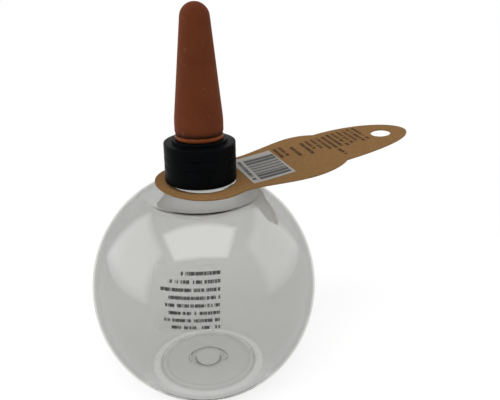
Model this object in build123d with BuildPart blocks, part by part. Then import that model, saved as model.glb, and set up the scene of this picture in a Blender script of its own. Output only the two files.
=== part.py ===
from build123d import *
import os
from math import asin, cos, degrees, radians, sin, sqrt

os.makedirs("parts", exist_ok=True)

# Watering globe, standing on its foot with the cone up. Millimetres, +Z up.
# The origin is the centre of the foot, on the surface that it stands on.

# Globe, a little taller than it is wide
globe_radius = 50.0
globe_half_height = 52.6
globe_wall = 0.8
shoulder_radius = 26.0
shoulder_flat = 6.5
shoulder_wall = 1.2
shoulder_round = 7.0

# Foot of the globe: a flat standing ring round a slightly raised floor with a moulded ring
foot_cut = 9.6
foot_ring_width = 6.3
foot_side_round = 7.0
floor_rise = 0.6
floor_step_width = 1.2
floor_ring_inner = 5.6
floor_ring_outer = 9.0
floor_ring_rise = 0.9
floor_ring_slope = 0.8

# Neck, its flared root and its screw thread
neck_radius = 12.45
neck_bore = 10.85
flare_rise = 3.47
flare_inset = 0.4
flare_foot_round = 11.0
flare_neck_round = 2.0
lip_round = 0.4
thread_pitch = 3.2
thread_turns = 1.5
thread_foot_width = 1.6
thread_crest_width = 0.7
thread_top_below_lip = 3.4
thread_clearance = 0.35
thread_root_overlap = 0.3
cap_thread_turns = 1.25

# Screw cap
cap_radius = 15.25
cap_top_radius = 15.15
cap_height = 16.7
cap_above_shoulder = 5.97
cap_skirt_wall = 1.25
cap_plate = 2.0
cap_edge_round = 0.5
cap_rim_round = 0.2
cap_groove_width = 0.9
cap_groove_depth = 0.25
cap_groove_spacing = 3.8
cap_groove_below_top = 5.4
boss_radius = 11.8
boss_height = 1.45
boss_round = 0.4
socket_wall = 1.35
socket_depth = 8.0

# Washer on the lip, with its play between socket and skirt
gasket_thickness = 1.5
gasket_play = 0.2

# Seal ring between boss and cone
seal_radius = 10.3
seal_height = 1.8
seal_round = 0.7
seal_play = 0.1

# Clay cone, with a stem cemented into the socket
cone_radius = 10.2
cone_edge_round = 1.7
cone_straight_length = 6.4
cone_straight_round = 30.0
cone_length = 53.2
cone_end_radius = 5.5
cone_tip_round = 5.9
stem_radius = 8.2
stem_fit = 0.05
cone_bore = 5.2
cone_bore_end = 3.0
cone_bore_round = 2.0
cone_tip_wall = 6.0

# Card tag round the neck, pushed off the axis, tilted, bent up past its ring and level at its end
tag_thickness = 0.5
tag_ring_radius = 21.6
tag_hole_radius = 14.3
tag_hole_back = 1.0
tag_offset = 2.1
tag_offset_azimuth = 30.0
tag_drop = 1.36
tag_azimuth = 15.4
tag_roll = 2.6
tag_pitch = 1.3
tag_rise_radius = 235.0
tag_rise_length = 44.0
tag_droop_radius = 400.0
tag_shoulder_distance = 4.0
tag_shoulder_half_width = 21.2
tag_waist_distance = 22.5
tag_waist_half_width = 18.4
tag_belly_distance = 42.3
tag_belly_half_width = 22.6
tag_notch_distance = 59.6
tag_notch_half_width = 17.4
tag_end_half_length = 39.0
tag_end_half_width = 17.6
peg_hole_distance = 87.0
peg_hole_radius = 4.6

# Paper sticker on the tag
sticker_thickness = 0.1
sticker_length = 19.6
sticker_width = 29.0
sticker_distance = 26.5
sticker_side_shift = 0.9
sticker_turn = 2.0
sticker_glue = 0.06

# Clear label on the front of the globe
label_thickness = 0.1
label_glue = 0.06
label_width = 27.0
label_tall = 24.0
label_corner = 2.0
label_rise = 18.5
label_azimuth = -99.0

# Places that follow from the sizes above
globe_centre = globe_half_height - foot_cut
foot_side = globe_radius * sqrt(1 - (globe_centre / globe_half_height) ** 2)
foot_radius = foot_side - foot_ring_width
shoulder_height = globe_centre + globe_half_height * sqrt(1 - (shoulder_radius / globe_radius) ** 2)
flare_radius = shoulder_radius - shoulder_flat
label_height = globe_centre + label_rise
cap_bottom = shoulder_height + cap_above_shoulder
cap_top = cap_bottom + cap_height
plate_bottom = cap_top - cap_plate
lip_height = plate_bottom - gasket_thickness
boss_top = cap_top + boss_height
cone_bottom = boss_top + seal_height
cone_top = cone_bottom + cone_length
socket_bottom = plate_bottom - socket_depth
skirt_bore = cap_radius - cap_skirt_wall
socket_bore = stem_radius + stem_fit
socket_radius = socket_bore + socket_wall
thread_start = lip_height - thread_top_below_lip - thread_pitch * thread_turns
thread_crest = skirt_bore - thread_clearance
cap_thread_crest = neck_radius + thread_clearance


def nearest_rim(form, radius, height):
    """Round edge of a turned form that lies nearest to a radius and a height."""
    rims = form.edges().filter_by(GeomType.CIRCLE)
    return rims.sort_by(lambda rim: abs(rim.radius - radius) + abs(rim.arc_center.Z - height))[0]


def nearest_corner(sketch, radius, height):
    """Corner of a half section that lies nearest to a radius and a height."""
    spot = Vector(radius, height)
    return sketch.vertices().sort_by(lambda corner: (Vector(corner.X, corner.Y) - spot).length)[0]


def globe_form(inset, shoulder, flare, rise, neck, top):
    """Turned form of the globe drawn in by an inset, with its own shoulder, flare and neck."""
    half_width = globe_radius - inset
    half_height = globe_half_height - inset
    floor = floor_rise + inset
    ring_top = floor + floor_ring_rise
    step_radius = foot_radius + inset
    low_angle = asin((inset - globe_centre) / half_height)
    high_angle = asin((shoulder - globe_centre) / half_height)
    low_side = half_width * cos(low_angle)
    high_side = half_width * cos(high_angle)
    with BuildPart() as form:
        with BuildSketch(Plane.XZ):
            with BuildLine():
                Polyline(
                    (0, floor),
                    (floor_ring_inner - inset, floor),
                    (floor_ring_inner - inset + floor_ring_slope, ring_top),
                    (floor_ring_outer + inset - floor_ring_slope, ring_top),
                    (floor_ring_outer + inset, floor),
                    (step_radius - floor_step_width, floor),
                    (step_radius, inset),
                    (low_side, inset),
                )
                EllipticalCenterArc(
                    (0, globe_centre),
                    half_width,
                    half_height,
                    start_angle=degrees(low_angle),
                    arc_size=degrees(high_angle - low_angle),
                )
                Polyline(
                    (high_side, shoulder),
                    (flare, shoulder),
                    (neck, shoulder + rise),
                    (neck, top),
                    (0, top),
                    (0, floor),
                )
            make_face()
        revolve(axis=Axis.Z)
        fillet(nearest_rim(form, low_side, inset), foot_side_round - inset)
        fillet(nearest_rim(form, high_side, shoulder), shoulder_round)
        fillet(nearest_rim(form, flare, shoulder), flare_foot_round)
        fillet(nearest_rim(form, neck, shoulder + rise), flare_neck_round)
    return form.part


def thread_ridge(root, crest, start, turns):
    """Right-hand helical ridge from a root radius to a crest radius, beginning at a height."""
    reach = crest - root
    overlap = thread_root_overlap if reach > 0 else -thread_root_overlap
    with BuildPart() as ridge:
        with BuildLine():
            helix = Helix(thread_pitch, thread_pitch * turns, root, center=(0, 0, start))
        with BuildSketch(Plane(helix @ 0, x_dir=(1, 0, 0), z_dir=helix % 0)):
            with BuildLine():
                Polyline(
                    (-overlap, -thread_foot_width / 2),
                    (reach, -thread_crest_width / 2),
                    (reach, thread_crest_width / 2),
                    (-overlap, thread_foot_width / 2),
                    close=True,
                )
            make_face()
        sweep(path=helix, is_frenet=True)
    return ridge.part


# Blown globe with its threaded neck
outer_form = globe_form(
    inset=0,
    shoulder=shoulder_height,
    flare=flare_radius,
    rise=flare_rise,
    neck=neck_radius,
    top=lip_height,
)
inner_form = globe_form(
    inset=globe_wall,
    shoulder=shoulder_height - shoulder_wall,
    flare=flare_radius - flare_inset,
    rise=flare_rise + flare_inset,
    neck=neck_bore,
    top=plate_bottom,
)
neck_thread = thread_ridge(neck_radius, thread_crest, thread_start, thread_turns)
with BuildPart() as globe_bottle:
    add(outer_form)
    add(neck_thread)
    add(inner_form, mode=Mode.SUBTRACT)
    fillet(nearest_rim(globe_bottle, neck_radius, lip_height), lip_round)
    fillet(nearest_rim(globe_bottle, neck_bore, lip_height), lip_round)
globe_bottle.part.label = "globe_bottle"
export_step(globe_bottle.part, "parts/globe_bottle.step")

# Clear film label, a patch of a thin shell over the globe
label_plane = Plane(
    (0, 0, label_height),
    x_dir=(-sin(radians(label_azimuth)), cos(radians(label_azimuth)), 0),
    z_dir=(cos(radians(label_azimuth)), sin(radians(label_azimuth)), 0),
)
with BuildPart() as clear_label:
    with BuildSketch(Plane.XZ) as label_section:
        with Locations((0, globe_centre)):
            label_back = label_glue
            label_front = label_glue + label_thickness
            Ellipse(globe_radius + label_front, globe_half_height + label_front)
            Ellipse(globe_radius + label_back, globe_half_height + label_back, mode=Mode.SUBTRACT)
        split(bisect_by=Plane.YZ)
    revolve(axis=Axis.Z)
    with BuildSketch(label_plane):
        RectangleRounded(label_width, label_tall, label_corner)
    extrude(amount=globe_radius + label_front, mode=Mode.INTERSECT)
clear_label.part.label = "clear_label"
export_step(clear_label.part, "parts/clear_label.step")

# Screw cap with boss, socket, grooves and inside thread
cap_thread = thread_ridge(skirt_bore, cap_thread_crest, thread_start - thread_pitch / 2, cap_thread_turns)
with BuildPart() as screw_cap:
    with BuildSketch(Plane.XZ) as cap_section:
        with BuildLine():
            Polyline(
                (cap_radius, cap_bottom),
                (cap_top_radius, cap_top),
                (boss_radius, cap_top),
                (boss_radius, boss_top),
                (socket_bore, boss_top),
                (socket_bore, socket_bottom),
                (socket_radius, socket_bottom),
                (socket_radius, plate_bottom),
                (skirt_bore, plate_bottom),
                (skirt_bore, cap_bottom),
                close=True,
            )
        make_face()
        fillet(nearest_corner(cap_section, cap_top_radius, cap_top), cap_edge_round)
        fillet(nearest_corner(cap_section, cap_radius, cap_bottom), cap_rim_round)
        fillet(nearest_corner(cap_section, boss_radius, boss_top), boss_round)
        for groove in range(2):
            drop = cap_groove_below_top + groove * cap_groove_spacing
            side = cap_top_radius + (cap_radius - cap_top_radius) * drop / cap_height
            with Locations((side, cap_top - drop)):
                Rectangle(2 * cap_groove_depth, cap_groove_width, mode=Mode.SUBTRACT)
    revolve(axis=Axis.Z)
    add(cap_thread)
screw_cap.part.label = "screw_cap"
export_step(screw_cap.part, "parts/screw_cap.step")

# Washer between the cap's plate and the lip
with BuildPart() as lip_gasket:
    with BuildSketch(Plane.XY.offset(lip_height)):
        Circle(skirt_bore - gasket_play)
        Circle(socket_radius + gasket_play, mode=Mode.SUBTRACT)
    extrude(amount=gasket_thickness)
lip_gasket.part.label = "lip_gasket"
export_step(lip_gasket.part, "parts/lip_gasket.step")

# Seal ring on the boss, under the cone
with BuildPart() as cone_seal_ring:
    with BuildSketch(Plane.XY.offset(boss_top)):
        Circle(seal_radius)
        Circle(stem_radius + seal_play, mode=Mode.SUBTRACT)
    extrude(amount=seal_height)
    fillet(nearest_rim(cone_seal_ring, seal_radius, cone_bottom), seal_round)
    fillet(nearest_rim(cone_seal_ring, seal_radius, boss_top), seal_round)
cone_seal_ring.part.label = "cone_seal_ring"
export_step(cone_seal_ring.part, "parts/cone_seal_ring.step")

# Hollow clay cone with its stem
with BuildPart() as clay_cone:
    with BuildSketch(Plane.XZ) as cone_section:
        with BuildLine():
            Polyline(
                (cone_bore, socket_bottom),
                (stem_radius, socket_bottom),
                (stem_radius, cone_bottom),
                (cone_radius, cone_bottom),
                (cone_radius, cone_bottom + cone_straight_length),
                (cone_end_radius, cone_top),
                (0, cone_top),
                (0, cone_top - cone_tip_wall),
                (cone_bore_end, cone_top - cone_tip_wall),
                close=True,
            )
        make_face()
        fillet(nearest_corner(cone_section, cone_radius, cone_bottom), cone_edge_round)
        fillet(
            nearest_corner(cone_section, cone_radius, cone_bottom + cone_straight_length),
            cone_straight_round,
        )
        fillet(nearest_corner(cone_section, cone_end_radius, cone_top), cone_tip_round)
        fillet(nearest_corner(cone_section, cone_bore_end, cone_top - cone_tip_wall), cone_bore_round)
    revolve(axis=Axis.Z)
clay_cone.part.label = "clay_cone"
export_step(clay_cone.part, "parts/clay_cone.step")

# Place of the tag: its ring's plane, and the plane in which the card bends
tag_turn = radians(tag_azimuth)
tag_lean = radians(tag_roll)
tag_plane = Plane(
    (
        tag_offset * cos(radians(tag_offset_azimuth)),
        tag_offset * sin(radians(tag_offset_azimuth)),
        cap_bottom - tag_drop,
    ),
    x_dir=(cos(tag_turn), sin(tag_turn), 0),
    z_dir=(sin(tag_turn) * sin(tag_lean), -cos(tag_turn) * sin(tag_lean), cos(tag_lean)),
)
bend_plane = Plane(tag_plane.origin, x_dir=tag_plane.x_dir, z_dir=-tag_plane.y_dir)
tag_reach = tag_notch_distance + tag_end_half_length
rise_end = radians(tag_pitch) + tag_rise_length / tag_rise_radius
rise_centre = Vector(-sin(radians(tag_pitch)), cos(radians(tag_pitch))) * tag_rise_radius
droop_centre = rise_centre + Vector(sin(rise_end), -cos(rise_end)) * (tag_rise_radius + tag_droop_radius)


def bent_sheet(low, high):
    """Wide sheet that bends up and then levels, between two heights over the middle of the card."""
    rise_angle = degrees((2 * tag_ring_radius + tag_rise_length) / tag_rise_radius)
    droop_angle = degrees((2 * tag_reach - tag_rise_length) / tag_droop_radius)
    rise_start = degrees(rise_end) - rise_angle - 90
    droop_start = degrees(rise_end) + 90
    with BuildPart() as sheet:
        with BuildSketch(bend_plane):
            with BuildLine():
                under_rise = CenterArc(rise_centre, tag_rise_radius - low, rise_start, rise_angle)
                under_droop = CenterArc(droop_centre, tag_droop_radius + low, droop_start, -droop_angle)
                over_rise = CenterArc(rise_centre, tag_rise_radius - high, rise_start, rise_angle)
                over_droop = CenterArc(droop_centre, tag_droop_radius + high, droop_start, -droop_angle)
                Line(under_rise @ 0, over_rise @ 0)
                Line(under_droop @ 1, over_droop @ 1)
            make_face()
        extrude(amount=2 * tag_ring_radius, both=True)
    return sheet.part


# Card tag, cut from the bent sheet
card_sheet = bent_sheet(-tag_thickness / 2, tag_thickness / 2)
peg_angle = rise_end - (peg_hole_distance - tag_rise_length) / tag_droop_radius
peg_spot = droop_centre + Vector(-sin(peg_angle), cos(peg_angle)) * tag_droop_radius
peg_plane = Plane(
    tag_plane.from_local_coords(Vector(peg_spot.X, 0, peg_spot.Y)),
    x_dir=tag_plane.x_dir * cos(peg_angle) + tag_plane.z_dir * sin(peg_angle),
    z_dir=tag_plane.z_dir * cos(peg_angle) - tag_plane.x_dir * sin(peg_angle),
)
with BuildPart() as hang_tag:
    add(card_sheet)
    with BuildSketch(tag_plane):
        Circle(tag_ring_radius)
        with BuildLine():
            side = Spline(
                (tag_shoulder_distance, tag_shoulder_half_width),
                (tag_waist_distance, tag_waist_half_width),
                (tag_belly_distance, tag_belly_half_width),
                (tag_notch_distance, tag_notch_half_width),
            )
            other_side = mirror(side, about=Plane.XZ)
            Line(side @ 0, other_side @ 0)
            Line(side @ 1, other_side @ 1)
        make_face()
        with Locations((tag_notch_distance, 0)):
            Ellipse(tag_end_half_length, tag_end_half_width)
        with Locations((-tag_hole_back, 0)):
            Circle(tag_hole_radius, mode=Mode.SUBTRACT)
    extrude(amount=tag_reach, both=True, mode=Mode.INTERSECT)
    with BuildSketch(peg_plane):
        Circle(peg_hole_radius)
    extrude(amount=2 * tag_thickness, both=True, mode=Mode.SUBTRACT)
hang_tag.part.label = "hang_tag"
export_step(hang_tag.part, "parts/hang_tag.step")

# Paper sticker lying on the card
sticker_back = tag_thickness / 2 + sticker_glue
paper_sheet = bent_sheet(sticker_back, sticker_back + sticker_thickness)
with BuildPart() as tag_sticker:
    add(paper_sheet)
    with BuildSketch(tag_plane):
        with Locations((sticker_distance, sticker_side_shift)):
            Rectangle(sticker_length, sticker_width, rotation=sticker_turn)
    extrude(amount=tag_reach, both=True, mode=Mode.INTERSECT)
tag_sticker.part.label = "tag_sticker"
export_step(tag_sticker.part, "parts/tag_sticker.step")
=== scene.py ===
import logging
from dataclasses import dataclass
from enum import Enum
from functools import partial
from math import asin, cos, hypot, pi, radians, sin

import bmesh
import bpy
from mathutils import Euler, Matrix, Vector


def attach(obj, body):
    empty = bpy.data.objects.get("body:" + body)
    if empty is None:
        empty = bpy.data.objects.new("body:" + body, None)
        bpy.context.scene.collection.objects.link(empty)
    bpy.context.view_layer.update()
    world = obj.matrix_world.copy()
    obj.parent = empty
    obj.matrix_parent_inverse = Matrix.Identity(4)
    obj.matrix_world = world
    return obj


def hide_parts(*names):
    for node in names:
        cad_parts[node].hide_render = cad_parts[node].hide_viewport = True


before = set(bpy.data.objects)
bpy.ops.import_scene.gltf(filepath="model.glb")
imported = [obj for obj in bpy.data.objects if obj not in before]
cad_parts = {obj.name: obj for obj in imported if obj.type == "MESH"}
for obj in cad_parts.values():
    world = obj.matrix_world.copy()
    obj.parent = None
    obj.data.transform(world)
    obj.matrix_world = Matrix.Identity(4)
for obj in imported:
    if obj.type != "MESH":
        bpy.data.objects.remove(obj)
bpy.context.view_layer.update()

MM = 0.001
LIP_HEIGHT = 107.1
SHARP_ANGLE = radians(32)
LOG = logging.getLogger("watering_globe")
Feed = bpy.types.Node | bpy.types.NodeSocket


class Body(Enum):
    """Bodies of the watering globe that its modelled pieces ride on."""

    BOTTLE = "bottle"
    LINER = "liner"
    CAP = "cap"


def linear(hex_colour: str) -> tuple[float, float, float, float]:
    """Turns an sRGB hex colour to linear light.

    Args:
        hex_colour: Six hex digits, red first.

    Returns:
        Linear red, green, blue and an alpha of 1.
    """
    parts = [int(hex_colour[i : i + 2], 16) / 255 for i in (0, 2, 4)]
    red, green, blue = (p / 12.92 if p <= 0.04045 else ((p + 0.055) / 1.055) ** 2.4 for p in parts)
    return red, green, blue, 1.0


def add_node(
    tree: bpy.types.NodeTree, kind: str, inputs: dict[str | int, object] | None = None, **settings: object
) -> bpy.types.Node:
    """Adds a node to a tree.

    Args:
        tree: Node tree that gets the node.
        kind: Type name of the node.
        inputs: By the input's name or number, a value, an output socket or a node that feeds it.
        settings: Properties of the node.

    Returns:
        The new node.
    """
    node = tree.nodes.new(kind)
    for name, value in settings.items():
        setattr(node, name, value)
    for key, value in (inputs or {}).items():
        if isinstance(value, bpy.types.Node):
            value = next(socket for socket in value.outputs if socket.enabled)
        if isinstance(value, bpy.types.NodeSocket):
            tree.links.new(value, node.inputs[key])
        else:
            node.inputs[key].default_value = value
    return node


class Swatch:
    """Node material in the making, with its piece's own coordinates in millimetres."""

    def __init__(
        self,
        name: str,
        origin: tuple[float, float, float] = (0.0, 0.0, 0.0),
        turn: tuple[float, float, float] = (0.0, 0.0, 0.0),
    ) -> None:
        """Starts a material.

        Args:
            name: Name of the real material and how it was made.
            origin: Origin of the coordinates, in millimetres.
            turn: Turns of the coordinates about X, Y and Z, in degrees.
        """
        self.material = bpy.data.materials.new(name)
        self.material.use_nodes = True
        self.tree = self.material.node_tree
        self.tree.nodes.clear()
        self.add = partial(add_node, self.tree)
        piece = self.add("ShaderNodeTexCoord")
        self.place = self.add(
            "ShaderNodeMapping",
            {"Vector": piece.outputs["Object"], "Location": [v * MM for v in origin],
             "Rotation": [radians(angle) for angle in turn], "Scale": (MM, MM, MM)},
            vector_type="TEXTURE",
        )
        self.axes = self.add("ShaderNodeSeparateXYZ", {"Vector": self.place}).outputs

    def done(self, surface: bpy.types.Node) -> bpy.types.Material:
        """Gives the material its surface shader and returns it."""
        self.add("ShaderNodeOutputMaterial", {"Surface": surface})
        return self.material


@dataclass(frozen=True)
class PrintRows:
    """Rows of plain broken bars in printing ink, in millimetres.

    Rows follow each other along the first direction and run along the second.
    """

    first: float
    count: int
    margin: float
    shortest: float
    longest: float
    seed: float
    pitch: float = 2.75
    height: float = 1.5
    row_shift: float = 7.3
    word_scale: float = 0.75
    word_gaps: float = 0.33
    stroke_scale: float = 3.2
    stroke_gaps: float = 0.4

    def ink(self, swatch: Swatch, along: Feed, across: Feed) -> bpy.types.Node:
        """Builds the ink's mask.

        Args:
            swatch: The material that gets the ink.
            along: Distance from row to row, in millimetres.
            across: Distance from the edge where the rows begin, in millimetres.

        Returns:
            Node that gives 1 where there is ink and 0 elsewhere.
        """
        add = swatch.add
        height = add("ShaderNodeMath", {0: along, 1: self.first}, operation="SUBTRACT")
        row = add("ShaderNodeMath", {0: height, 1: self.pitch}, operation="DIVIDE")
        number = add("ShaderNodeMath", {0: row}, operation="FLOOR")
        rest = add("ShaderNodeMath", {0: row}, operation="FRACT")
        in_row = add("ShaderNodeMath", {0: rest, 1: self.height / self.pitch}, operation="LESS_THAN")
        in_block = add(
            "ShaderNodeMath", {0: number, 1: (self.count - 1) / 2, 2: self.count / 2},
            operation="COMPARE",
        )
        draw = add("ShaderNodeMath", {0: number, 1: self.seed}, operation="ADD")
        chance = add("ShaderNodeTexWhiteNoise", {"W": draw}, noise_dimensions="1D")
        length = add(
            "ShaderNodeMapRange", {"Value": chance, "To Min": self.shortest, "To Max": self.longest}
        )
        run = add("ShaderNodeMath", {0: across, 1: self.margin}, operation="SUBTRACT")
        begun = add("ShaderNodeMath", {0: run, 1: 0.0}, operation="GREATER_THAN")
        going = add("ShaderNodeMath", {0: run, 1: length}, operation="LESS_THAN")
        step = add("ShaderNodeMath", {0: run, 1: self.height}, operation="DIVIDE")
        line = add("ShaderNodeMath", {0: number, 1: self.row_shift}, operation="MULTIPLY")
        spot = add("ShaderNodeCombineXYZ", {"X": step, "Y": line})
        words, strokes = (
            add(
                "ShaderNodeTexNoise", {"Vector": spot, "Scale": scale, "Detail": detail},
                noise_dimensions="2D",
            )
            for scale, detail in ((self.word_scale, 0.0), (self.stroke_scale, 1.0))
        )
        mask = add("ShaderNodeMath", {0: words, 1: self.word_gaps}, operation="GREATER_THAN")
        dark = add("ShaderNodeMath", {0: strokes, 1: self.stroke_gaps}, operation="GREATER_THAN")
        for part in (dark, in_row, in_block, begun, going):
            mask = add("ShaderNodeMath", {0: mask, 1: part}, operation="MULTIPLY")
        return mask


@dataclass(frozen=True)
class ClearPolyester:
    """Clear blown polyester of the globe."""

    # To the eye: glossy inside and out, a little grey, deeper where it is seen edge on, with a crisp grey
    # rim of painted shade standing in for dim surroundings reflected edge on, slow ripples from blowing
    # and faint grey rings of painted shade where the foot was moulded.
    name: str = "clear_polyester_blown"
    tint: str = "D3D3D1"
    edge_tint: str = "969793"
    painted_ring_shade: str = "A9AAA7"
    painted_rim_shade: str = "E9E9E7"
    rim_slant: tuple[float, float] = (0.67, 0.9)
    ior: float = 1.57
    ripple: float = 17.0
    ripple_strength: float = 0.35
    ripple_depth: float = 0.05
    edge_falloff: float = 2.0
    foot_height: float = 2.6
    # Radius, half width and depth of painted shade of each grey ring.
    painted_foot_ring_shades: tuple[tuple[float, float, float], ...] = (
        (22.2, 0.55, 0.9),
        (19.6, 0.9, 0.4),
        (7.3, 1.9, 0.6),
    )

    def material(self) -> bpy.types.Material:
        """Builds the material.

        Returns:
            The polyester's material.
        """
        swatch = Swatch(self.name)
        add = swatch.add
        waves = add(
            "ShaderNodeTexNoise", {"Vector": swatch.place, "Scale": 1 / self.ripple, "Detail": 1.0}
        )
        ripples = add(
            "ShaderNodeBump",
            {"Height": waves, "Strength": self.ripple_strength, "Distance": self.ripple_depth * MM},
        )
        facing = add("ShaderNodeLayerWeight").outputs["Facing"]
        slant = add("ShaderNodeMath", {0: facing, 1: self.edge_falloff}, operation="POWER")
        shade = add(
            "ShaderNodeMix",
            {"Factor": slant, 6: linear(self.tint), 7: linear(self.edge_tint)}, data_type="RGBA",
        )
        flat = add("ShaderNodeCombineXYZ", {"X": swatch.axes["X"], "Y": swatch.axes["Y"]})
        radius = add("ShaderNodeVectorMath", {0: flat}, operation="LENGTH")
        low = add("ShaderNodeMath", {0: swatch.axes["Z"], 1: self.foot_height}, operation="LESS_THAN")
        # Painted shade: grey rings darken the foot over its moulded steps, standing in for the dark lines
        # that bent light draws there.
        for middle, half_width, depth in self.painted_foot_ring_shades:
            off = add("ShaderNodeMath", {0: radius, 1: middle}, operation="SUBTRACT")
            away = add("ShaderNodeMath", {0: off}, operation="ABSOLUTE")
            grey = add(
                "ShaderNodeMapRange",
                {"Value": away, "From Max": half_width, "To Min": depth, "To Max": 0.0},
                interpolation_type="SMOOTHSTEP",
            )
            ring = add("ShaderNodeMath", {0: grey, 1: low}, operation="MULTIPLY")
            shade = add(
                "ShaderNodeMix", {"Factor": ring, 6: shade, 7: linear(self.painted_ring_shade)}, data_type="RGBA"
            )
        wall = add(
            "ShaderNodeBsdfPrincipled",
            {"Base Color": shade, "Roughness": 0.0, "IOR": self.ior, "Transmission Weight": 1.0,
             "Normal": ripples},
        )
        # Painted shade at the rim: edge on, the gloss gives way to grey see-through that stands in for
        # dim surroundings reflected there.
        grazing = add(
            "ShaderNodeMapRange",
            {"Value": facing, "From Min": self.rim_slant[0], "From Max": self.rim_slant[1]},
        )
        above = add(
            "ShaderNodeMath", {0: swatch.axes["Z"], 1: self.foot_height}, operation="GREATER_THAN"
        )
        edge = add("ShaderNodeMath", {0: grazing, 1: above}, operation="MULTIPLY")
        passed, rim = (
            add("ShaderNodeBsdfTransparent", {"Color": linear(colour)})
            for colour in (self.tint, self.painted_rim_shade)
        )
        seen = add("ShaderNodeMixShader", {0: edge, 1: wall, 2: rim})
        path = add("ShaderNodeLightPath")
        return swatch.done(
            add("ShaderNodeMixShader", {0: path.outputs["Is Shadow Ray"], 1: seen, 2: passed})
        )


@dataclass(frozen=True)
class BlackPolypropylene:
    """Black moulded polypropylene of the cap."""

    # To the eye: deep black and satin, with patches of slightly worn gloss. The mould's grain is drawn
    # coarser than the real one so that it shows.
    name: str = "black_polypropylene_moulded"
    colour: str = "030405"
    worn: str = "08090A"
    ior: float = 1.49
    gloss: float = 0.02
    roughness: tuple[float, float] = (0.29, 0.46)
    patch: float = 5.0
    mould_grain: float = 0.28
    grain_strength: float = 0.25
    grain_depth: float = 0.03

    def material(self) -> bpy.types.Material:
        """Builds the material.

        Returns:
            The polypropylene's material.
        """
        swatch = Swatch(self.name)
        add = swatch.add
        patches = add(
            "ShaderNodeTexNoise", {"Vector": swatch.place, "Scale": 1 / self.patch, "Detail": 3.0}
        )
        shade = add(
            "ShaderNodeMix", {"Factor": patches, 6: linear(self.colour), 7: linear(self.worn)},
            data_type="RGBA",
        )
        satin = add(
            "ShaderNodeMapRange",
            {"Value": patches, "To Min": self.roughness[0], "To Max": self.roughness[1]},
        )
        pits = add("ShaderNodeTexNoise", {"Vector": swatch.place, "Scale": 1 / self.mould_grain})
        grain = add(
            "ShaderNodeBump",
            {"Height": pits, "Strength": self.grain_strength, "Distance": self.grain_depth * MM},
        )
        return swatch.done(add(
            "ShaderNodeBsdfPrincipled",
            {"Base Color": shade, "Roughness": satin, "IOR": self.ior, "Specular IOR Level": self.gloss,
             "Normal": grain},
        ))


@dataclass(frozen=True)
class Terracotta:
    """Unglazed fired clay of the cone."""

    # To the eye: matt and dusty, with cloudy firing colours, pale scuffs and painted shade darkening its
    # foot next to the seal ring. The grit is drawn coarser than the real one so that it shows.
    name: str = "terracotta_fired"
    dark: str = "5B2B17"
    light: str = "6F3A20"
    grit: str = "7A4A30"
    scuff: str = "85604A"
    painted_foot_shade: str = "241108"
    roughness: float = 0.9
    diffuse_roughness: float = 0.8
    ior: float = 1.5
    gloss: float = 0.1
    dust: float = 0.05
    dust_roughness: float = 0.4
    cloud: float = 11.0
    grit_size: float = 0.55
    scuff_size: float = 2.6
    # Values of the pattern where grit and scuffs begin and are full, and how far they then cover.
    grit_spread: tuple[float, float, float] = (0.62, 0.78, 0.5)
    scuff_spread: tuple[float, float, float] = (0.64, 0.76, 0.4)
    # Heights over which the painted shade at the cone's foot fades out, and how dark it starts.
    painted_shade_from: float = 113.9
    painted_shade_to: float = 117.0
    painted_shade_depth: float = 0.9
    pore_strength: float = 0.5
    pore_depth: float = 0.12

    def material(self) -> bpy.types.Material:
        """Builds the material.

        Returns:
            The clay's material.
        """
        swatch = Swatch(self.name)
        add = swatch.add
        clouds, specks, rubs = (
            add("ShaderNodeTexNoise", {"Vector": swatch.place, "Scale": 1 / size, "Detail": detail})
            for size, detail in ((self.cloud, 4.0), (self.grit_size, 3.0), (self.scuff_size, 6.0))
        )
        shade = add(
            "ShaderNodeMix", {"Factor": clouds, 6: linear(self.dark), 7: linear(self.light)},
            data_type="RGBA",
        )
        gritty, scuffed = (
            add(
                "ShaderNodeMapRange",
                {"Value": noise, "From Min": begin, "From Max": full, "To Max": share},
            )
            for noise, (begin, full, share) in ((specks, self.grit_spread), (rubs, self.scuff_spread))
        )
        # Painted shade: the cone darkens towards its foot, where it meets the seal ring.
        painted_foot_shade = add(
            "ShaderNodeMapRange",
            {"Value": swatch.axes["Z"], "From Min": self.painted_shade_from, "From Max": self.painted_shade_to,
             "To Min": self.painted_shade_depth, "To Max": 0.0},
            interpolation_type="SMOOTHSTEP",
        )
        for share, colour in ((gritty, self.grit), (scuffed, self.scuff), (painted_foot_shade, self.painted_foot_shade)):
            shade = add(
                "ShaderNodeMix", {"Factor": share, 6: shade, 7: linear(colour)}, data_type="RGBA"
            )
        pores = add(
            "ShaderNodeBump",
            {"Height": specks, "Strength": self.pore_strength, "Distance": self.pore_depth * MM},
        )
        return swatch.done(add(
            "ShaderNodeBsdfPrincipled",
            {"Base Color": shade, "Roughness": self.roughness,
             "Diffuse Roughness": self.diffuse_roughness, "IOR": self.ior,
             "Specular IOR Level": self.gloss, "Sheen Weight": self.dust,
             "Sheen Roughness": self.dust_roughness, "Normal": pores},
        ))


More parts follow.
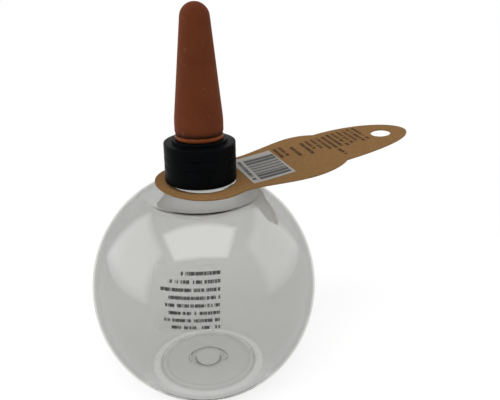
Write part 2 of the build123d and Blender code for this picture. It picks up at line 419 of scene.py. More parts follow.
@dataclass(frozen=True)
class SealRubber:
    """Rubber of the washer, cut from sheet, and silicone of the seal ring, moulded."""

    # To the eye: a soft sheen, with faint bloom in patches and a fine skin.
    name: str
    colour: str
    bloom: str
    roughness: float
    gloss: float
    ior: float = 1.41
    patch: float = 3.0
    skin: float = 0.4
    skin_strength: float = 0.15
    skin_depth: float = 0.05

    def material(self) -> bpy.types.Material:
        """Builds the material.

        Returns:
            The rubber's material.
        """
        swatch = Swatch(self.name)
        add = swatch.add
        patches = add(
            "ShaderNodeTexNoise", {"Vector": swatch.place, "Scale": 1 / self.patch, "Detail": 3.0}
        )
        shade = add(
            "ShaderNodeMix", {"Factor": patches, 6: linear(self.colour), 7: linear(self.bloom)},
            data_type="RGBA",
        )
        dimples = add("ShaderNodeTexNoise", {"Vector": swatch.place, "Scale": 1 / self.skin})
        skin = add(
            "ShaderNodeBump",
            {"Height": dimples, "Strength": self.skin_strength, "Distance": self.skin_depth * MM},
        )
        return swatch.done(add(
            "ShaderNodeBsdfPrincipled",
            {"Base Color": shade, "Roughness": self.roughness, "IOR": self.ior,
             "Specular IOR Level": self.gloss, "Normal": skin},
        ))


@dataclass(frozen=True)
class TagFrame:
    """Place of the tag's flat ring: its centre in millimetres, and its turn and lean in degrees."""

    offset: float = 2.1
    offset_azimuth: float = 30.0
    height: float = 92.54
    azimuth: float = 15.4
    lean: float = 2.6

    def swatch(self, name: str) -> Swatch:
        """Starts a material whose X runs along the tag and whose Y runs across it.

        Args:
            name: Name of the real material and how it was made.

        Returns:
            The material in the making.
        """
        bearing = radians(self.offset_azimuth)
        centre = (self.offset * cos(bearing), self.offset * sin(bearing), self.height)
        return Swatch(name, centre, (self.lean, 0.0, self.azimuth))


@dataclass(frozen=True)
class KraftCard:
    """Uncoated kraft card of the tag, printed on its upper face."""

    # To the eye: brown and matt, felted from long fibres, with darker shives and rows of dull ink.
    name: str = "kraft_card_printed"
    colour: str = "7A5A36"
    pale: str = "8D6B43"
    shive: str = "5C4228"
    ink_colour: str = "2C2117"
    roughness: float = 0.88
    ior: float = 1.5
    gloss: float = 0.15
    fibre_width: float = 0.35
    fibre_length: float = 3.5
    # Values of the pattern where pale fibres and shives begin and are full, and how far shives cover.
    felt_spread: tuple[float, float] = (0.12, 0.42)
    shive_spread: tuple[float, float, float] = (0.68, 0.78, 0.45)
    tooth_strength: float = 0.4
    tooth_depth: float = 0.08
    upper_face: tuple[float, float] = (0.4, 0.6)
    ink_cover: float = 0.9
    far_margin: float = 13.0
    blocks: tuple[PrintRows, ...] = (
        PrintRows(first=49.8, count=4, margin=0.0, shortest=10.5, longest=16.0, seed=3.0),
        PrintRows(first=60.8, count=1, margin=0.4, shortest=24.0, longest=25.0, seed=6.0),
        PrintRows(first=63.6, count=6, margin=-0.4, shortest=14.5, longest=19.0, seed=9.0),
        PrintRows(first=44.6, count=1, margin=0.8, shortest=12.0, longest=13.0, seed=5.0),
        PrintRows(first=37.4, count=2, margin=-2.6, shortest=11.0, longest=12.0, seed=8.0, pitch=2.7),
    )

    def material(self, place: TagFrame) -> bpy.types.Material:
        """Builds the material.

        Args:
            place: Frame of the tag.

        Returns:
            The card's material.
        """
        swatch = place.swatch(self.name)
        add = swatch.add
        fibres = []
        sizes = (self.fibre_length, self.fibre_width)
        for along, across in (sizes, sizes[::-1]):
            lie = add(
                "ShaderNodeVectorMath", {0: swatch.place, 1: (1 / along, 1 / across, 0.0)},
                operation="MULTIPLY",
            )
            fibres.append(add("ShaderNodeTexNoise", {"Vector": lie, "Scale": 1.0, "Detail": 3.0}))
        felt = add("ShaderNodeMath", {0: fibres[0], 1: fibres[1]}, operation="MULTIPLY")
        spread = add(
            "ShaderNodeMapRange",
            {"Value": felt, "From Min": self.felt_spread[0], "From Max": self.felt_spread[1]},
        )
        pulp = add(
            "ShaderNodeMix", {"Factor": spread, 6: linear(self.colour), 7: linear(self.pale)},
            data_type="RGBA",
        )
        begin, full, share = self.shive_spread
        flecks = add(
            "ShaderNodeMapRange",
            {"Value": fibres[0], "From Min": begin, "From Max": full, "To Max": share},
        )
        flecked = add(
            "ShaderNodeMix", {"Factor": flecks, 6: pulp, 7: linear(self.shive)}, data_type="RGBA"
        )
        from_edge = add(
            "ShaderNodeMath", {0: self.far_margin, 1: swatch.axes["Y"]}, operation="SUBTRACT"
        )
        ink, *others = (block.ink(swatch, swatch.axes["X"], from_edge) for block in self.blocks)
        for rows in others:
            ink = add("ShaderNodeMath", {0: ink, 1: rows}, operation="MAXIMUM")
        piece = add("ShaderNodeTexCoord")
        upward = add("ShaderNodeSeparateXYZ", {"Vector": piece.outputs["Normal"]})
        on_top = add(
            "ShaderNodeMapRange",
            {"Value": upward.outputs["Z"], "From Min": self.upper_face[0],
             "From Max": self.upper_face[1], "To Max": self.ink_cover},
        )
        soaked = add("ShaderNodeMath", {0: ink, 1: on_top}, operation="MULTIPLY")
        printed = add(
            "ShaderNodeMix", {"Factor": soaked, 6: flecked, 7: linear(self.ink_colour)},
            data_type="RGBA",
        )
        tooth = add(
            "ShaderNodeBump",
            {"Height": felt, "Strength": self.tooth_strength, "Distance": self.tooth_depth * MM},
        )
        return swatch.done(add(
            "ShaderNodeBsdfPrincipled",
            {"Base Color": printed, "Roughness": self.roughness, "IOR": self.ior,
             "Specular IOR Level": self.gloss, "Normal": tooth},
        ))


@dataclass(frozen=True)
class StickerPaper:
    """White label paper of the sticker."""

    # To the eye: smooth pale paper with a grey panel of plain bars, heavier at its two sides, and a row
    # of dashes beside it.
    name: str = "label_paper_printed"
    colour: str = "9E9B96"
    shade: str = "908C86"
    ink_colour: str = "2A2A2A"
    roughness: float = 0.6
    ior: float = 1.45
    cloud: float = 4.0
    grain: float = 0.3
    tooth_strength: float = 0.2
    tooth_depth: float = 0.03
    bar_pitch: float = 2.9
    thin_bar: float = 0.3
    thick_bar: float = 0.72
    bars_from: float = 21.2
    bars_to: float = 35.6
    bars_half_width: float = 11.6
    thin_half_width: float = 5.2
    bar_fade: float = 1.5
    fine_ink: float = 0.4
    dashes: PrintRows = PrintRows(
        first=18.2, count=1, margin=0.0, shortest=22.0, longest=22.5, seed=2.0, pitch=2.0, height=1.7
    )

    def material(self, place: TagFrame) -> bpy.types.Material:
        """Builds the material.

        Args:
            place: Frame of the tag.

        Returns:
            The paper's material.
        """
        swatch = place.swatch(self.name)
        add = swatch.add
        along, across = swatch.axes["X"], swatch.axes["Y"]
        clouds, pulp = (
            add("ShaderNodeTexNoise", {"Vector": swatch.place, "Scale": 1 / size, "Detail": 3.0})
            for size in (self.cloud, self.grain)
        )
        paper = add(
            "ShaderNodeMix", {"Factor": clouds, 6: linear(self.colour), 7: linear(self.shade)},
            data_type="RGBA",
        )
        off_middle = add("ShaderNodeMath", {0: across}, operation="ABSOLUTE")
        share = add(
            "ShaderNodeMapRange",
            {"Value": off_middle, "From Min": self.thin_half_width,
             "From Max": self.thin_half_width + self.bar_fade, "To Min": self.thin_bar,
             "To Max": self.thick_bar},
        )
        step = add("ShaderNodeMath", {0: across, 1: self.bar_pitch}, operation="DIVIDE")
        rest = add("ShaderNodeMath", {0: step}, operation="FRACT")
        coarse = add("ShaderNodeMath", {0: rest, 1: share}, operation="LESS_THAN")
        bars = add("ShaderNodeMath", {0: coarse, 1: self.fine_ink}, operation="MAXIMUM")
        begun = add("ShaderNodeMath", {0: along, 1: self.bars_from}, operation="GREATER_THAN")
        going = add("ShaderNodeMath", {0: along, 1: self.bars_to}, operation="LESS_THAN")
        inside = add("ShaderNodeMath", {0: off_middle, 1: self.bars_half_width}, operation="LESS_THAN")
        for part in (begun, going, inside):
            bars = add("ShaderNodeMath", {0: bars, 1: part}, operation="MULTIPLY")
        from_edge = add("ShaderNodeMath", {0: self.bars_half_width, 1: across}, operation="SUBTRACT")
        dashes = self.dashes.ink(swatch, along, from_edge)
        ink = add("ShaderNodeMath", {0: bars, 1: dashes}, operation="MAXIMUM")
        printed = add(
            "ShaderNodeMix", {"Factor": ink, 6: paper, 7: linear(self.ink_colour)}, data_type="RGBA"
        )
        tooth = add(
            "ShaderNodeBump",
            {"Height": pulp, "Strength": self.tooth_strength, "Distance": self.tooth_depth * MM},
        )
        return swatch.done(add(
            "ShaderNodeBsdfPrincipled",
            {"Base Color": printed, "Roughness": self.roughness, "IOR": self.ior, "Normal": tooth},
        ))


@dataclass(frozen=True)
class LabelFilm:
    """Clear printed film of the globe's label, with its place in millimetres and degrees."""

    # To the eye: almost unseen but for a faint haze and a dull sheen, with rows of dark ink.
    name: str = "label_film_printed"
    colour: str = "B9BAB7"
    ink_colour: str = "2B2C2B"
    roughness: float = 0.22
    ior: float = 1.5
    haze: float = 0.10
    cover: float = 0.85
    azimuth: float = -99.0
    height: float = 61.5
    half_width: float = 13.5
    half_tall: float = 12.0
    rows: PrintRows = PrintRows(
        first=2.2, count=8, margin=1.0, shortest=15.0, longest=24.0, seed=4.0, pitch=2.78, height=1.2
    )

    def material(self) -> bpy.types.Material:
        """Builds the material.

        Returns:
            The film's material.
        """
        swatch = Swatch(self.name, (0.0, 0.0, self.height), (0.0, 0.0, self.azimuth + 90))
        add = swatch.add
        from_right = add(
            "ShaderNodeMath", {0: self.half_width, 1: swatch.axes["X"]}, operation="SUBTRACT"
        )
        from_top = add("ShaderNodeMath", {0: self.half_tall, 1: swatch.axes["Z"]}, operation="SUBTRACT")
        ink = self.rows.ink(swatch, from_top, from_right)
        shade = add(
            "ShaderNodeMix", {"Factor": ink, 6: linear(self.colour), 7: linear(self.ink_colour)},
            data_type="RGBA",
        )
        cover = add("ShaderNodeMapRange", {"Value": ink, "To Min": self.haze, "To Max": self.cover})
        return swatch.done(add(
            "ShaderNodeBsdfPrincipled",
            {"Base Color": shade, "Roughness": self.roughness, "IOR": self.ior, "Alpha": cover},
        ))


@dataclass(frozen=True)
class GlobeWall:
    """Curve of one side of the globe's wall, an ellipse on the axis, in millimetres."""

    half_width: float
    half_height: float
    centre: float

    def angle(self, height: float) -> float:
        """Angle on the ellipse's circle at a height, in radians."""
        return asin((height - self.centre) / self.half_height)

    def radius(self, height: float) -> float:
        """Radius at a height."""
        return self.half_width * cos(self.angle(height))

    def corner(self, height: float, level: float) -> tuple[float, float]:
        """Corner where the curve's tangent at a height meets a level plane.

        Args:
            height: Height where the round leaves the curve.
            level: Height of the plane.

        Returns:
            Radius of the corner, and its distance from the curve.
        """
        radius = self.radius(height)
        slope = -(self.half_width / self.half_height) ** 2 * (height - self.centre) / radius
        rise = level - height
        return radius + slope * rise, hypot(rise, slope * rise)


class Section:
    """Half section of a turned piece, drawn with a pen in millimetres and spun round the Z axis."""

    round_segments: int = 7
    weld_distance: float = 0.002

    def __init__(self, radius: float, height: float) -> None:
        """Sets the pen down.

        Args:
            radius: Radius at the start.
            height: Height at the start.
        """
        self.mesh = bmesh.new()
        self.pen = self.mesh.verts.new((radius * MM, 0.0, height * MM))
        self.start = self.pen
        self.rounds: list[tuple[bmesh.types.BMVert, float]] = []

    def to(self, radius: float, height: float, rounding: float = 0.0) -> "Section":
        """Draws a straight line.

        Args:
            radius: Radius at the line's end.
            height: Height at the line's end.
            rounding: Length of each side that a round at this corner takes up.

        Returns:
            This section.
        """
        self.pen = bmesh.ops.extrude_vert_indiv(self.mesh, verts=[self.pen])["verts"][0]
        self.pen.co = (radius * MM, 0.0, height * MM)
        if rounding:
            self.rounds.append((self.pen, rounding))
        return self

    def arc(self, wall: GlobeWall, height: float, steps: int) -> "Section":
        """Draws along the globe's curve from the pen to a height.

        Args:
            wall: The curve that the pen is on.
            height: Height at the arc's end.
            steps: Number of straight steps.

        Returns:
            This section.
        """
        squeeze = wall.half_height / wall.half_width
        middle = Matrix.Translation((0.0, 0.0, -wall.centre * MM))
        sweep = wall.angle(height) - wall.angle(self.pen.co.z / MM)
        known = set(self.mesh.verts)
        bmesh.ops.scale(self.mesh, vec=(1, 1, 1 / squeeze), space=middle, verts=[self.pen])
        made = bmesh.ops.spin(
            self.mesh, geom=[self.pen], cent=(0.0, 0.0, wall.centre * MM), axis=(0.0, -1.0, 0.0),
            dvec=(0.0, 0.0, 0.0), angle=sweep, steps=steps, use_duplicate=False,
        )
        drawn = [self.pen, *(v for v in self.mesh.verts if v not in known)]
        bmesh.ops.scale(self.mesh, vec=(1, 1, squeeze), space=middle, verts=drawn)
        self.pen = next(g for g in made["geom_last"] if isinstance(g, bmesh.types.BMVert))
        return self

    def close(self) -> "Section":
        """Draws a straight line back to the start."""
        self.mesh.edges.new((self.pen, self.start))
        return self

    def spun(self, steps: int) -> bmesh.types.BMesh:
        """Rounds the corners and spins the section.

        Args:
            steps: Number of steps in the full turn.

        Returns:
            The closed mesh, with its faces pointing out of the material.
        """
        for corner, rounding in self.rounds:
            bmesh.ops.bevel(
                self.mesh, geom=[corner], offset=rounding * MM, offset_type="OFFSET",
                segments=self.round_segments, profile=0.5, affect="VERTICES", clamp_overlap=False,
                material=-1,
            )
        bmesh.ops.spin(
            self.mesh, geom=[*self.mesh.verts, *self.mesh.edges], cent=(0, 0, 0), axis=(0, 0, 1),
            dvec=(0, 0, 0), angle=2 * pi, steps=steps, use_merge=True, use_duplicate=False,
        )
        bmesh.ops.remove_doubles(self.mesh, verts=self.mesh.verts, dist=self.weld_distance * MM)
        bmesh.ops.recalc_face_normals(self.mesh, faces=self.mesh.faces)
        return self.mesh


@dataclass(frozen=True)
class Thread:
    """Right-hand screw ridge, in millimetres."""

    root: float
    crest: float
    start: float
    turns: float
    pitch: float = 3.2
    foot: float = 1.6
    top: float = 0.7
    steps_per_turn: int = 64

    def cut(self, mesh: bmesh.types.BMesh) -> None:
        """Adds the ridge to a mesh as a closed coil.

        Args:
            mesh: Mesh of the piece that carries the thread.
        """
        corners = (
            (self.root, -self.foot / 2), (self.crest, -self.top / 2),
            (self.crest, self.top / 2), (self.root, self.foot / 2),
        )
        ring = [mesh.verts.new((r * MM, 0.0, (self.start + z) * MM)) for r, z in corners]
        face = mesh.faces.new(ring)
        steps = int(self.turns * self.steps_per_turn)
        known = set(mesh.faces) - {face}
        bmesh.ops.spin(
            mesh, geom=[face, *face.edges, *ring], cent=(0, 0, 0), axis=(0, 0, 1),
            dvec=(0, 0, self.pitch * self.turns / steps * MM), angle=2 * pi * self.turns, steps=steps,
            use_duplicate=False,
        )
        bmesh.ops.recalc_face_normals(mesh, faces=[f for f in mesh.faces if f not in known])


def finished(
    name: str, mesh: bmesh.types.BMesh, material: bpy.types.Material, body: Body, node: str
) -> None:
    """Turns a mesh to a piece that stands for a CAD node.

    Args:
        name: Name of the piece.
        mesh: The mesh, which is used up.
        material: The finish.
        body: The body that the piece rides on.
        node: The CAD node that the piece stands for.
    """
    data = bpy.data.meshes.new(name)
    mesh.to_mesh(data)
    mesh.free()
    data.polygons.foreach_set("use_smooth", [True] * len(data.polygons))
    data.set_sharp_from_angle(angle=SHARP_ANGLE)
    data.materials.append(material)
    piece = bpy.data.objects.new(name, data)
    bpy.context.scene.collection.objects.link(piece)
    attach(piece, body.value)
    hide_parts(node)
    LOG.info("%s: %d faces", name, len(data.polygons))


def dressed(node: str, material: bpy.types.Material) -> None:
    """Gives a CAD node its finish.

    Args:
        node: Name of the node.
        material: The finish.
    """
    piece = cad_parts[node]
    piece.data.materials.clear()
    piece.data.materials.append(material)
    LOG.info("%s: dressed", node)


@dataclass
class Bottle:
    """Blown globe with foot and threaded neck, and the film label on its front, in millimetres."""

    outer: GlobeWall = GlobeWall(half_width=50.0, half_height=52.6, centre=43.0)
    wall: float = 0.8
    foot_radius: float = 22.5
    floor_rise: float = 0.6
    floor_step: float = 1.2
    ring_inner: float = 5.6
    ring_outer: float = 9.0
    ring_rise: float = 0.9
    ring_slope: float = 0.8
    edge_round: float = 0.4
    foot_blend: float = 1.6
    shoulder: float = 87.93
    shoulder_wall: float = 1.2
    shoulder_blend: float = 1.1
    blend_share: float = 0.98
    flare_radius: float = 19.5
    flare_top: float = 91.4
    flare_foot_round: float = 2.56
    flare_neck_round: float = 1.25
    inner_flare_radius: float = 19.1
    inner_flare_top: float = 90.6
    inner_foot_round: float = 2.45
    inner_neck_round: float = 1.27
    neck_radius: float = 12.45
    neck_bore: float = 10.85
    lip: float = LIP_HEIGHT
    arc_steps: int = 72
    turn_steps: int = 192
    thread: Thread = Thread(root=12.2, crest=13.65, start=98.9, turns=1.5)

    def floor_corners(self, inset: float) -> list[tuple[float, float]]:
        """Corners of the foot's raised floor, from its moulded ring out to the edge that stands.

        Args:
            inset: Depth in the wall, from the outside.

        Returns:
            Radius and height of each corner.
        """
        floor, edge = self.floor_rise + inset, self.foot_radius + inset
        inside, outside = self.ring_inner - inset, self.ring_outer + inset
        return [
            (inside, floor),
            (inside + self.ring_slope, floor + self.ring_rise),
            (outside - self.ring_slope, floor + self.ring_rise),
            (outside, floor),
            (edge - self.floor_step, floor),
            (edge, inset),
        ]

    def globe(self) -> bmesh.types.BMesh:
        """Models the globe as one closed shell, outside first, with the neck's thread.

        Returns:
            The globe's mesh.
        """
        inner = GlobeWall(
            self.outer.half_width - self.wall, self.outer.half_height - self.wall, self.outer.centre
        )
        inner_shoulder = self.shoulder - self.shoulder_wall
        bottom, top = self.foot_blend, self.shoulder - self.shoulder_blend
        inner_bottom, inner_top = self.wall + self.foot_blend, inner_shoulder - self.shoulder_blend
        low, low_reach = self.outer.corner(bottom, 0.0)
        high, high_reach = self.outer.corner(top, self.shoulder)
        inner_low, inner_low_reach = inner.corner(inner_bottom, self.wall)
        inner_high, inner_high_reach = inner.corner(inner_top, inner_shoulder)
        section = Section(0.0, self.floor_rise)
        for radius, height in self.floor_corners(0.0):
            section.to(radius, height, self.edge_round)
        section.to(low, 0.0, self.blend_share * low_reach)
        section.to(self.outer.radius(bottom), bottom)
        section.arc(self.outer, top, self.arc_steps)
        section.to(high, self.shoulder, self.blend_share * high_reach)
        section.to(self.flare_radius, self.shoulder, self.flare_foot_round)
        section.to(self.neck_radius, self.flare_top, self.flare_neck_round)
        section.to(self.neck_radius, self.lip, self.edge_round)
        section.to(self.neck_bore, self.lip, self.edge_round)
        section.to(self.neck_bore, self.inner_flare_top, self.inner_neck_round)
        section.to(self.inner_flare_radius, inner_shoulder, self.inner_foot_round)
        section.to(inner_high, inner_shoulder, self.blend_share * inner_high_reach)
        section.to(inner.radius(inner_top), inner_top)
        section.arc(inner, inner_bottom, self.arc_steps)
        section.to(inner_low, self.wall, self.blend_share * inner_low_reach)
        for radius, height in reversed(self.floor_corners(self.wall)):
            section.to(radius, height, self.edge_round)
        section.to(0.0, self.floor_rise + self.wall)
        mesh = section.spun(self.turn_steps)
        self.thread.cut(mesh)
        return mesh

    def build(self) -> None:
        """Builds and dresses the globe and its label."""
        finished(
            "blown_globe", self.globe(), ClearPolyester().material(), Body.BOTTLE, "globe_bottle",
        )
        dressed("clear_label", LabelFilm().material())


@dataclass
class Closure:
    """Screw cap with its washer, the seal ring and the clay cone, in millimetres."""

    cap_bottom: float = 93.9
    cap_top: float = 110.6
    cap_radius: float = 15.25
    cap_top_radius: float = 15.15
    cap_taper: float = 0.006
    cap_foot_round: float = 0.2
    cap_edge_round: float = 0.5
    skirt_bore: float = 14.0
    plate_bottom: float = 108.6
    plate_round: float = 0.3
    boss_radius: float = 11.8
    boss_top: float = 112.05
    boss_foot_round: float = 0.15
    boss_edge_round: float = 0.4
    socket_bore: float = 8.25
    socket_radius: float = 9.6
    socket_bottom: float = 100.6
    socket_round: float = 0.2
    groove_depth: float = 0.25
    groove_width: float = 0.9
    groove_edge_round: float = 0.12
    groove_root_round: float = 0.1
    groove_heights: tuple[float, float] = (101.4, 105.2)
    cap_steps: int = 160
    thread: Thread = Thread(root=14.2, crest=12.8, start=97.3, turns=1.25)
    lip: float = LIP_HEIGHT
    gasket_inner: float = 9.8
    gasket_outer: float = 13.8
    gasket_round: float = 0.1
    seal_radius: float = 10.3
    seal_bore: float = 8.3
    seal_round: float = 0.7
    seal_bore_round: float = 0.1
    cone_bottom: float = 113.85
    cone_top: float = 167.05
    cone_radius: float = 10.2
    cone_straight: float = 6.4
    cone_end_radius: float = 5.5
    cone_tip_wall: float = 6.0
    cone_foot_round: float = 1.7
    cone_waist_round: float = 1.5
    cone_tip_round: float = 5.38
    stem_radius: float = 8.2
    stem_round: float = 0.3
    cone_bore: float = 5.2
    cone_bore_end: float = 3.0
    cone_bore_round: float = 1.8
    ring_steps: int = 128

    def cap(self) -> bmesh.types.BMesh:
        """Models the cap with its grooves, boss, socket and inside thread.

        Returns:
            The cap's mesh.
        """
        section = Section(self.skirt_bore, self.cap_bottom)
        section.to(self.cap_radius, self.cap_bottom, self.cap_foot_round)
        for height in self.groove_heights:
            low, high = height - self.groove_width / 2, height + self.groove_width / 2
            side = self.cap_radius - self.cap_taper * (height - self.cap_bottom)
            root = side - self.groove_depth
            section.to(side, low, self.groove_edge_round).to(root, low, self.groove_root_round)
            section.to(root, high, self.groove_root_round).to(side, high, self.groove_edge_round)
        section.to(self.cap_top_radius, self.cap_top, self.cap_edge_round)
        section.to(self.boss_radius, self.cap_top, self.boss_foot_round)
        section.to(self.boss_radius, self.boss_top, self.boss_edge_round)
        section.to(self.socket_bore, self.boss_top, self.socket_round)
        section.to(self.socket_bore, self.socket_bottom)
        section.to(self.socket_radius, self.socket_bottom, self.socket_round)
        section.to(self.socket_radius, self.plate_bottom, self.plate_round)
        section.to(self.skirt_bore, self.plate_bottom, self.plate_round)
        mesh = section.close().spun(self.cap_steps)
        self.thread.cut(mesh)
        return mesh

    def gasket(self) -> bmesh.types.BMesh:
        """Models the washer on the bottle's lip.

        Returns:
            The washer's mesh.
        """
        section = Section(self.gasket_inner, self.lip)
        section.to(self.gasket_outer, self.lip, self.gasket_round)
        section.to(self.gasket_outer, self.plate_bottom, self.gasket_round)
        section.to(self.gasket_inner, self.plate_bottom, self.gasket_round)
        return section.close().spun(self.ring_steps)

    def seal(self) -> bmesh.types.BMesh:
        """Models the seal ring between boss and cone.

        Returns:
            The seal ring's mesh.
        """
        section = Section(self.seal_bore, self.boss_top)
        section.to(self.seal_radius, self.boss_top, self.seal_round)
        section.to(self.seal_radius, self.cone_bottom, self.seal_round)
        section.to(self.seal_bore, self.cone_bottom, self.seal_bore_round)
        return section.close().spun(self.ring_steps)

    def cone(self) -> bmesh.types.BMesh:
        """Models the hollow clay cone with its stem.

        Returns:
            The cone's mesh.
        """
        bore_top = self.cone_top - self.cone_tip_wall
        section = Section(self.cone_bore, self.socket_bottom)
        section.to(self.stem_radius, self.socket_bottom, self.stem_round)
        section.to(self.stem_radius, self.cone_bottom)
        section.to(self.cone_radius, self.cone_bottom, self.cone_foot_round)
        section.to(self.cone_radius, self.cone_bottom + self.cone_straight, self.cone_waist_round)
        section.to(self.cone_end_radius, self.cone_top, self.cone_tip_round)
        section.to(0.0, self.cone_top).to(0.0, bore_top)
        section.to(self.cone_bore_end, bore_top, self.cone_bore_round)
        return section.close().spun(self.ring_steps)

    def build(self) -> None:
        """Builds and dresses the four pieces."""
        finished(
            "moulded_cap", self.cap(), BlackPolypropylene().material(), Body.CAP, "screw_cap",
        )
        rubber = SealRubber("gasket_rubber_cut", "B3B3AE", "A3A39E", roughness=0.6, gloss=0.5)
        finished(
            "lip_washer", self.gasket(), rubber.material(), Body.LINER, "lip_gasket"
        )
        silicone = SealRubber("seal_silicone_moulded", "5F2C0E", "6C340F", roughness=0.45, gloss=0.15)
        finished(
            "seal_ring", self.seal(), silicone.material(), Body.CAP, "cone_seal_ring"
        )
        finished("fired_cone", self.cone(), Terracotta().material(), Body.CAP, "clay_cone")


@dataclass
class HangTag:
    """Card tag round the neck and the paper sticker on it."""

    place: TagFrame = TagFrame()

    def build(self) -> None:
        """Dresses the card and the sticker."""
        dressed("hang_tag", KraftCard().material(self.place))
        dressed("tag_sticker", StickerPaper().material(self.place))


@dataclass(frozen=True)
class Panel:
    """Soft light panel: size, place and soft edge in metres, turn in degrees, radiance against white."""

    name: str
    size: tuple[float, float]
    place: tuple[float, float, float]
    turn: tuple[float, float, float]
    radiance: float
    soft_edge: float
    layers: int = 5
    layer_gap: float = 0.002

    def hang(self) -> None:
        """Hangs the panel as layers, each smaller than the last, so that its edge looks soft."""
        turn = Euler([radians(angle) for angle in self.turn])
        for layer in range(self.layers):
            inset = 2 * self.soft_edge * layer / self.layers
            light = bpy.data.lights.new(f"{self.name}_{layer}", "AREA")
            light.shape = "RECTANGLE"
            light.size, light.size_y = (side - inset for side in self.size)
            light.energy = self.radiance / self.layers * pi * light.size * light.size_y
            lamp = bpy.data.objects.new(light.name, light)
            behind = Vector((0.0, 0.0, self.layer_gap * layer))
            lamp.location = Vector(self.place) + turn.to_matrix() @ behind
            lamp.rotation_euler = turn
            lamp.visible_camera = False
            lamp.visible_transmission = False
            bpy.context.scene.collection.objects.link(lamp)


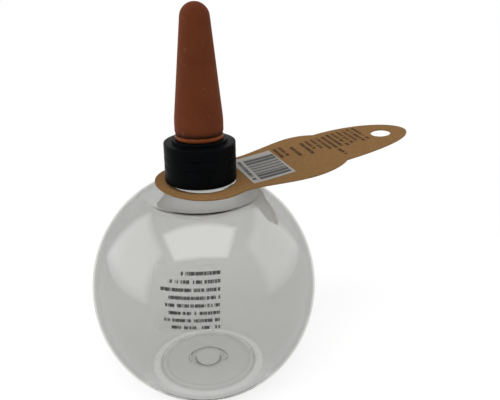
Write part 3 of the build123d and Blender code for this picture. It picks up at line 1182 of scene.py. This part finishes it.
@dataclass
class Studio:
    """Pale floor, soft light from three panels and the camera.

    Lengths are in metres unless named otherwise, and angles are in radians.
    """

    floor_radius: float = 8.0
    floor_segments: int = 96
    floor_colour: str = "E6E6E4"
    shadow_colour: str = "949494"
    shadow_glow: float = 0.78
    shadow_reach_mm: tuple[float, float] = (90.0, 420.0)
    room_colour: str = "FFFFFF"
    world_level: float = 0.2
    panels: tuple[Panel, ...] = (
        Panel(
            "ceiling_panel", size=(1.48, 0.90), place=(-0.10, -0.6, 1.1), turn=(0.0, 0.0, 0.0),
            radiance=3.4, soft_edge=0.13,
        ),
        Panel(
            "left_panel", size=(1.2, 1.4), place=(-1.0, 0.0, 0.55), turn=(0.0, -90.0, 0.0),
            radiance=2.1, soft_edge=0.25,
        ),
        Panel(
            "right_panel", size=(1.2, 1.3), place=(1.0, 0.05, 0.55), turn=(0.0, 90.0, 0.0),
            radiance=1.3, soft_edge=0.25,
        ),
    )
    eye_mm: tuple[float, float, float] = (0.0, -253.76, 184.77)
    yaw: float = 0.099
    pitch: float = 0.361
    roll: float = -0.006
    focal_px: float = 624.3
    principal_px: tuple[float, float] = (259.5, 187.4)
    image_px: tuple[int, int] = (500, 400)
    sensor_mm: float = 36.0
    near_clip: float = 0.01

    def seen_rays(self, tree: bpy.types.NodeTree) -> bpy.types.Node:
        """Tells rays that are seen from those that only carry light.

        Args:
            tree: Node tree that gets the nodes.

        Returns:
            Node that gives 1 for rays from the camera, from glossy surfaces and through clear ones.
        """
        path = add_node(tree, "ShaderNodeLightPath").outputs
        seen = path["Is Camera Ray"]
        for kind in ("Is Glossy Ray", "Is Transmission Ray"):
            seen = add_node(tree, "ShaderNodeMath", {0: seen, 1: path[kind]}, operation="MAXIMUM")
        return seen

    def floor(self) -> None:
        """Lays the floor: pale paint that keeps a soft shadow and looks white where it is lit."""
        mesh = bmesh.new()
        bmesh.ops.create_circle(
            mesh, cap_ends=True, segments=self.floor_segments, radius=self.floor_radius
        )
        data = bpy.data.meshes.new("floor")
        mesh.to_mesh(data)
        mesh.free()
        swatch = Swatch("floor_paint_matt")
        add = swatch.add
        paint = add("ShaderNodeBsdfDiffuse", {"Color": linear(self.floor_colour)})
        shadow = add("ShaderNodeBsdfDiffuse", {"Color": linear(self.shadow_colour)})
        glow = add("ShaderNodeEmission", {"Strength": self.shadow_glow})
        near = add("ShaderNodeAddShader", {0: shadow, 1: glow})
        white = add("ShaderNodeEmission", {"Strength": 1.0})
        distance = add("ShaderNodeVectorMath", {0: swatch.place}, operation="LENGTH")
        far = add(
            "ShaderNodeMapRange",
            {"Value": distance, "From Min": self.shadow_reach_mm[0],
             "From Max": self.shadow_reach_mm[1]},
            interpolation_type="SMOOTHSTEP",
        )
        seen = add("ShaderNodeMixShader", {0: far, 1: near, 2: white})
        material = swatch.done(
            add("ShaderNodeMixShader", {0: self.seen_rays(swatch.tree), 1: paint, 2: seen})
        )
        data.materials.append(material)
        floor = bpy.data.objects.new("floor", data)
        bpy.context.scene.collection.objects.link(floor)

    def light(self) -> None:
        """Sets the even room light and the panels."""
        world = bpy.data.worlds.new("studio")
        bpy.context.scene.world = world
        world.use_nodes = True
        tree = world.node_tree
        tree.nodes.clear()
        colour = linear(self.room_colour)
        room, seen = (
            add_node(tree, "ShaderNodeBackground", {"Color": colour, "Strength": level})
            for level in (self.world_level, 1.0)
        )
        mix = add_node(tree, "ShaderNodeMixShader", {0: self.seen_rays(tree), 1: room, 2: seen})
        add_node(tree, "ShaderNodeOutputWorld", {"Surface": mix})
        for panel in self.panels:
            panel.hang()

    def camera(self) -> None:
        """Stands the camera where the photograph was taken."""
        level = cos(self.pitch)
        ahead = Vector((sin(self.yaw) * level, cos(self.yaw) * level, -sin(self.pitch)))
        right = Vector((cos(self.yaw), -sin(self.yaw), 0.0))
        turn = Matrix.Rotation(self.roll, 3, -ahead)
        right = turn @ right
        up = right.cross(ahead)
        data = bpy.data.cameras.new("photo_camera")
        data.sensor_fit = "HORIZONTAL"
        data.sensor_width = self.sensor_mm
        data.lens = data.sensor_width * self.focal_px / self.image_px[0]
        data.shift_x = (self.image_px[0] / 2 - self.principal_px[0]) / self.image_px[0]
        data.shift_y = (self.principal_px[1] - self.image_px[1] / 2) / self.image_px[0]
        data.clip_start = self.near_clip
        camera = bpy.data.objects.new("photo_camera", data)
        axes = Matrix((right, up, -ahead)).transposed().to_4x4()
        camera.matrix_world = Matrix.Translation(Vector(self.eye_mm) * MM) @ axes
        bpy.context.scene.collection.objects.link(camera)
        bpy.context.scene.camera = camera

    def build(self) -> None:
        """Builds floor, light and camera."""
        bpy.context.scene.view_settings.view_transform = "Standard"
        self.floor()
        self.light()
        self.camera()


def main() -> None:
    """Builds and dresses the watering globe in its studio."""
    logging.basicConfig(level=logging.INFO)
    Bottle().build()
    Closure().build()
    HangTag().build()
    Studio().build()


if __name__ == "__main__":
    main()
